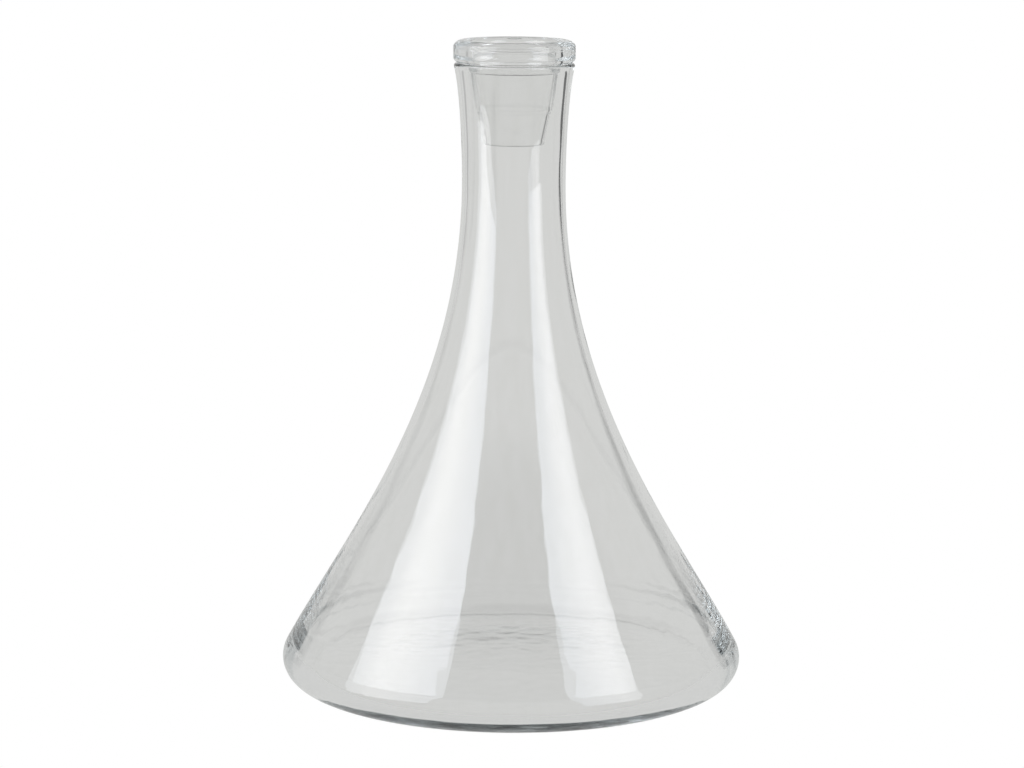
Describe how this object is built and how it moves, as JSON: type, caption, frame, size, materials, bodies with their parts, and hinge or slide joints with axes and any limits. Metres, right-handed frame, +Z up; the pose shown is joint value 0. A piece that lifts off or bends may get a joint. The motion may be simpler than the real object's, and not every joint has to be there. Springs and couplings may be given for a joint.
{
  "type": "wasp trap",
  "caption": "Clear glass wasp trap: a wide conical flask with a tall flared neck, and a loose glass funnel with a thick round flange hanging in its mouth.",
  "frame": {"origin": "centre of the flask's foot, on the surface that it stands on", "axes": "+Z up along the axis that both pieces are turned on; +X and +Y are any two directions across it"},
  "size_m": [0.1494, 0.1494, 0.2084],
  "materials": {
    "flask_glass": "clear blown glass, fire-polished, with a few seeds and soft ripples",
    "funnel_glass": "clear lamp-worked glass, fire-polished"
  },
  "bodies": {
    "flask": {"flask": "flask_glass"},
    "funnel": {"funnel_insert": "funnel_glass"}
  },
  "joints": [
    {"name": "funnel_lift", "type": "slide", "parent": "flask", "child": "funnel", "axis": [0, 0, 1], "range_m": [0, 0.06]}
  ]
}
